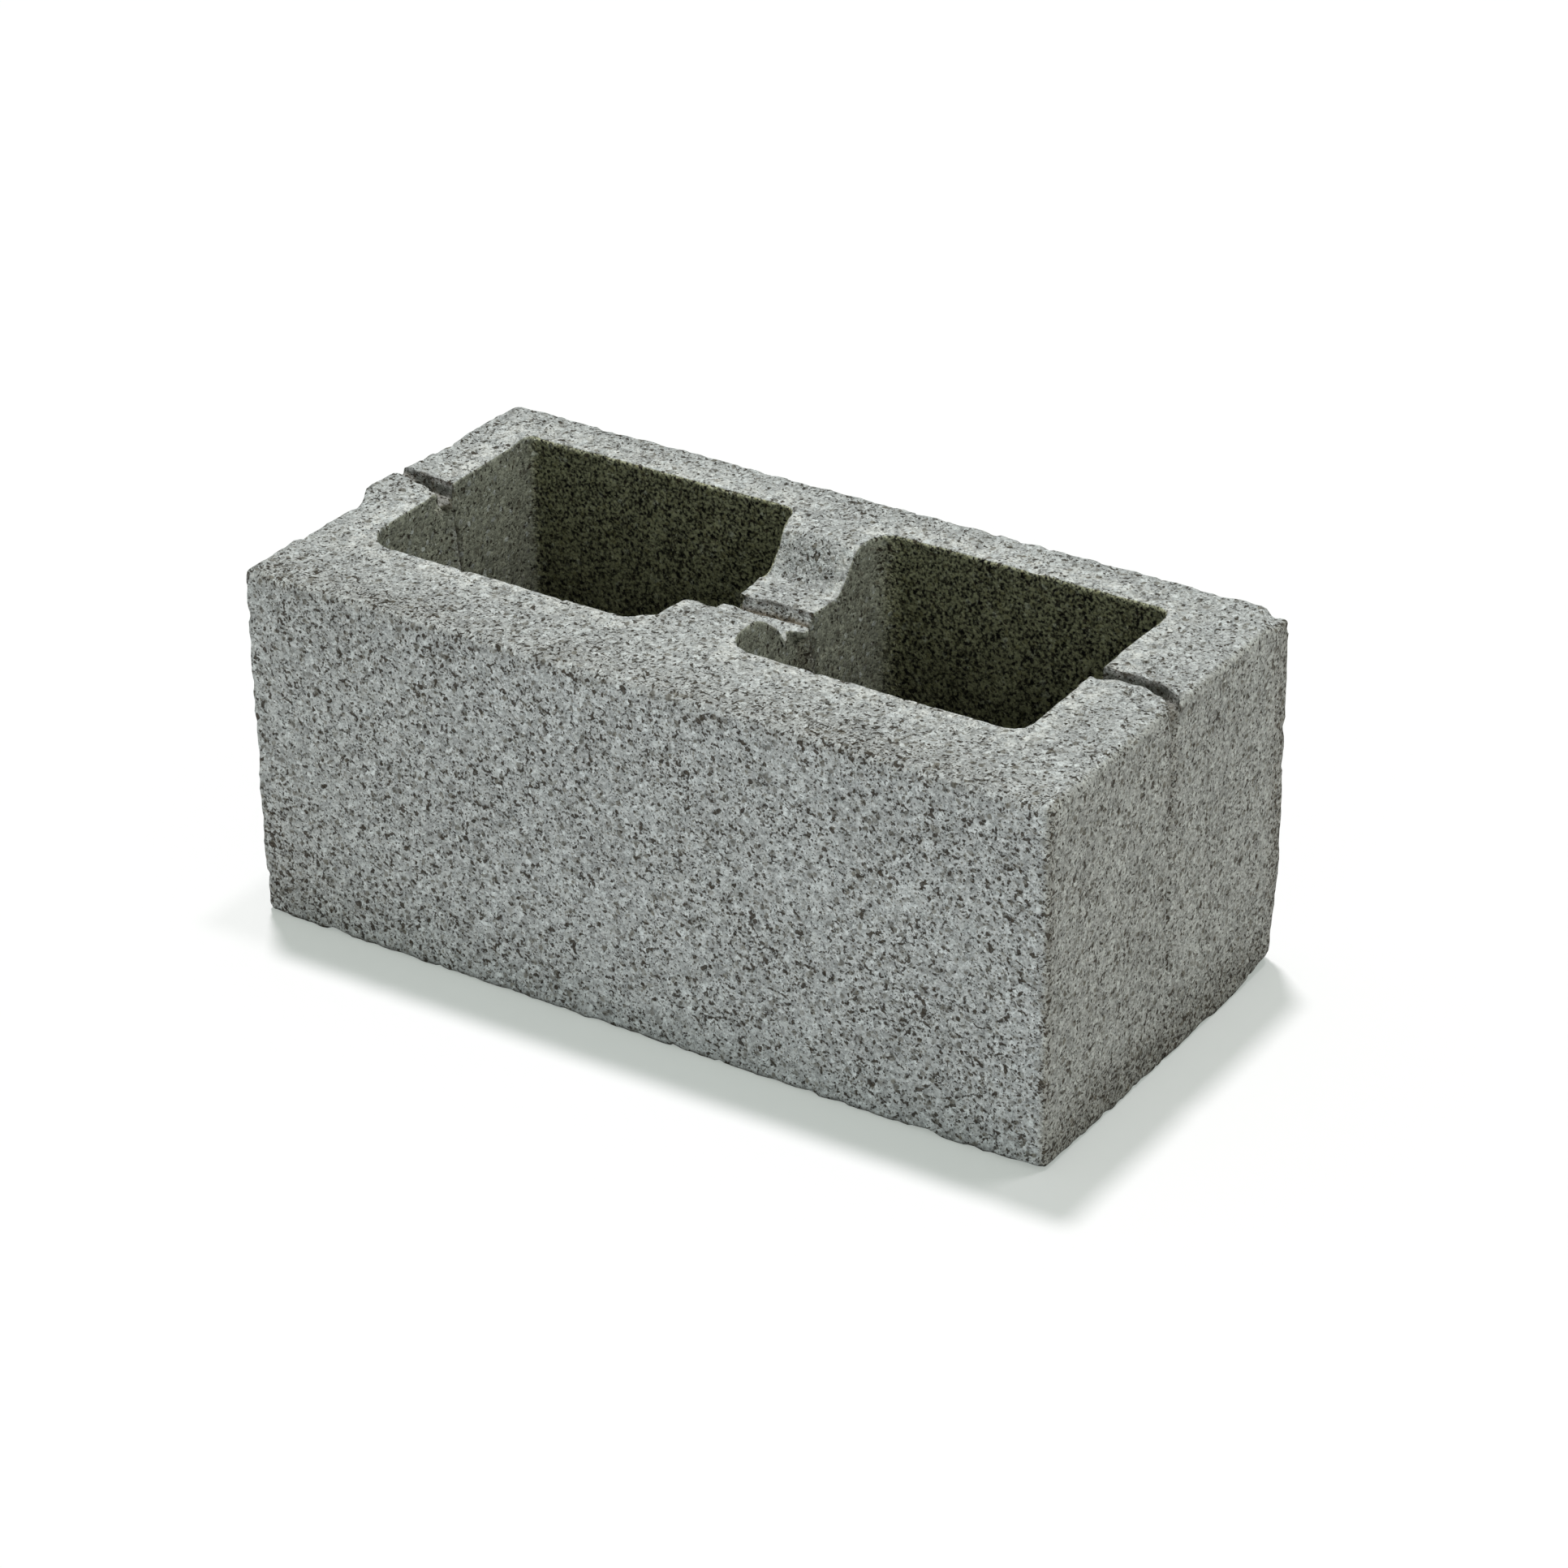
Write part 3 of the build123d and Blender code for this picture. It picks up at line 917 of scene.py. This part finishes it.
class FENCE_OT_block(bpy.types.Operator):
    """Cast the block: one closed mesh with its two finishes, in place of its plain solid"""

    bl_idname = "fence.block"
    bl_label = "Cast block"

    def execute(self, context):
        finish = context.scene.fence_finish
        piece = bpy.data.objects.new(PIECE, cast_mesh(context.scene.fence_sizes))
        context.scene.collection.objects.link(piece)
        effects = {"grain": grain_effect(), "pore": pore_effect(), "cloud": cloud_effect()}
        face_look = {
            "clouds": 0.30, "streaks": 0.16, "light": 0.34, "dark": 0.33, "patchy": 0.07, "pores": 0.146,
            "top_light": 0.03, "deep": 0.0, "bump": 1.0, "grain": 0.82, "speckle": 0.28,
            "mottle": 0.10, "mottle_all": 1.0, "sunk": 0.0, "holes": 0.080,
        }
        cell_look = {
            "clouds": 0.40, "streaks": 0.32, "light": 0.10, "dark": 0.26, "patchy": 0.08, "pores": 0.12,
            "top_light": 0.0, "deep": 0.24, "bump": 0.9, "grain": 0.75, "speckle": 0.40,
            "mottle": 0.80, "mottle_all": 0.10, "sunk": 0.46, "holes": 0.040,
        }
        piece.data.materials.append(concrete("pressed_face", finish, effects, finish.paste, face_look))
        piece.data.materials.append(concrete("cell_wall", finish, effects, finish.cell, cell_look))
        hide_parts(NODE)
        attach(piece, BODY)
        return {"FINISHED"}


def floor_material(look):
    """A pale floor. The camera sees it white, with a share of its shadow, and the ground under the block
    gives no light back into the cells."""
    material = bpy.data.materials.new("studio_floor")
    material.use_nodes = True
    material.node_tree.nodes.clear()
    graph = Graph(material.node_tree)
    parts = graph.add("ShaderNodeSeparateXYZ")
    graph.join(graph.object_point(), parts.inputs[0])
    pale = (1.0, 0.98, 1.0)
    dark_ground = (0.03, 0.03, 0.025)
    under = 1.0
    for axis in (0, 1):
        value = parts.outputs[axis]
        under = graph.math("MULTIPLY", under, graph.math("GREATER_THAN", value, cad_low[axis]))
        under = graph.math("MULTIPLY", under, graph.math("LESS_THAN", value, cad_high[axis]))
    rays = graph.add("ShaderNodeLightPath")
    to_camera = rays.outputs["Is Camera Ray"]
    dark = graph.math("MULTIPLY", under, graph.math("SUBTRACT", 1.0, to_camera))
    plain = graph.add("ShaderNodeBsdfDiffuse")
    graph.join(graph.mix(dark, pale, dark_ground), plain.inputs[0])
    white = graph.add("ShaderNodeEmission")
    white.inputs["Color"].default_value = (0.92, 1.0, 0.94, 1.0)
    blend = graph.add("ShaderNodeMixShader")
    graph.join(graph.math("MULTIPLY", to_camera, 1.0 - look.shade), blend.inputs[0])
    graph.join(plain.outputs[0], blend.inputs[1])
    graph.join(white.outputs[0], blend.inputs[2])
    output = graph.add("ShaderNodeOutputMaterial")
    graph.join(blend.outputs[0], output.inputs[0])
    return material


def add_lamp(name, direction, level, softness, tint):
    """A far lamp that shines from a direction, with the level that it gives a face turned to it."""
    lamp = bpy.data.lights.new(name, "SUN")
    lamp.energy = level * math.pi
    lamp.angle = math.radians(softness)
    lamp.color = tint
    holder = bpy.data.objects.new(name, lamp)
    holder.rotation_euler = Vector(direction).to_track_quat("Z", "Y").to_euler()
    holder.location = Vector(direction).normalized() * 2.0
    bpy.context.scene.collection.objects.link(holder)
    return holder


class FENCE_OT_stage(bpy.types.Operator):
    """Set the pale floor, the even light and the camera at the viewing angle"""

    bl_idname = "fence.stage"
    bl_label = "Set the stage"

    def execute(self, context):
        look = context.scene.fence_stage
        half = 30.0
        mesh = bpy.data.meshes.new("studio_floor")
        corners = [(-half, -half, 0.0), (half, -half, 0.0), (half, half, 0.0), (-half, half, 0.0)]
        mesh.from_pydata(corners, [], [(0, 1, 2, 3)])
        mesh.materials.append(floor_material(look))
        floor = bpy.data.objects.new("studio_floor", mesh)
        context.scene.collection.objects.link(floor)
        floor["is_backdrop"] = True
        self.light(context, look)
        self.camera(context, look)
        context.scene.view_settings.view_transform = "Standard"
        return {"FINISHED"}

    def light(self, context, look):
        """The even sky, white to the camera, and the lamps."""
        world = bpy.data.worlds.new("studio_sky")
        world.use_nodes = True
        world.node_tree.nodes.clear()
        graph = Graph(world.node_tree)
        to_camera = graph.add("ShaderNodeLightPath").outputs["Is Camera Ray"]
        sky = graph.add("ShaderNodeBackground")
        graph.join(graph.mix(to_camera, (0.94, 1.0, 0.92), (1.0, 1.0, 1.0)), sky.inputs["Color"])
        level = graph.math("MULTIPLY", to_camera, 1.0 - look.sky)
        graph.join(graph.math("ADD", level, look.sky), sky.inputs["Strength"])
        output = graph.add("ShaderNodeOutputWorld")
        graph.join(sky.outputs[0], output.inputs[0])
        context.scene.world = world
        main = 0.81 * look.overhead
        fill = look.overhead - main
        top_tint = (1.03, 1.0, 1.02)
        add_lamp("overhead_lamp", (-0.165, 0.172, 1.0), main, 5.0, top_tint)
        add_lamp("overhead_fill", (0.110, 0.150, 1.0), fill, 5.0, top_tint)
        add_lamp("low_front_lamp", (0.05, -1.0, 0.012), look.low_front, 1.0, (0.96, 1.0, 1.03))
        inward = add_lamp("side_lamp", (0.75, -0.03, 0.64), look.side, 12.0, (1.0, 0.99, 0.96))
        lit = bpy.data.collections.new("lit_by_side_lamp")
        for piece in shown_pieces():
            lit.objects.link(piece)
        inward.light_linking.receiver_collection = lit

    def camera(self, context, look):
        """The camera looks at its aim from the azimuth, pitch and distance, and is then rolled."""
        turn, tilt, roll = (math.radians(v) for v in (look.azimuth, look.pitch, look.roll))
        back = Vector((math.sin(turn) * math.cos(tilt), -math.cos(turn) * math.cos(tilt), math.sin(tilt)))
        right = Vector((0, 0, 1)).cross(back).normalized()
        up = back.cross(right)
        rolled = right * math.cos(roll) + up * math.sin(roll)
        axes = Matrix((rolled, back.cross(rolled), back)).transposed()
        camera = bpy.data.cameras.new("studio_camera")
        camera.lens = look.lens
        camera.sensor_width = 36.0
        camera.clip_end = 200.0
        holder = bpy.data.objects.new("studio_camera", camera)
        holder.rotation_mode = "QUATERNION"
        holder.rotation_quaternion = axes.to_quaternion()
        holder.location = Vector((look.aim_x, look.aim_y, look.aim_z)) + back * look.distance
        context.scene.collection.objects.link(holder)
        context.scene.camera = holder


class FENCE_PT_panel(bpy.types.Panel):
    """The block's steps and values in the sidebar."""

    bl_label = "Fence block"
    bl_idname = "FENCE_PT_panel"
    bl_space_type = "VIEW_3D"
    bl_region_type = "UI"
    bl_category = "Fence block"

    def draw(self, context):
        for operator in OPERATORS:
            self.layout.operator(operator.bl_idname)
        for group in GROUPS:
            box = self.layout.box()
            for name in GROUPS[group].__annotations__:
                box.prop(getattr(context.scene, group), name)


GROUPS = {"fence_sizes": BlockSizes, "fence_finish": BlockFinish, "fence_stage": StageLook}
OPERATORS = (FENCE_OT_block, FENCE_OT_stage)
CLASSES = (*GROUPS.values(), *OPERATORS, FENCE_PT_panel)


def register():
    """Registers the classes and gives the scene its groups of values."""
    for kind in CLASSES:
        bpy.utils.register_class(kind)
    for name, kind in GROUPS.items():
        setattr(bpy.types.Scene, name, PointerProperty(type=kind))


def unregister():
    """Takes the groups of values and the classes away again."""
    for name in GROUPS:
        delattr(bpy.types.Scene, name)
    for kind in reversed(CLASSES):
        bpy.utils.unregister_class(kind)


def main():
    """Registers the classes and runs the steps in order."""
    register()
    bpy.ops.fence.block()
    bpy.ops.fence.stage()
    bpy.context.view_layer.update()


if __name__ == "__main__":
    main()
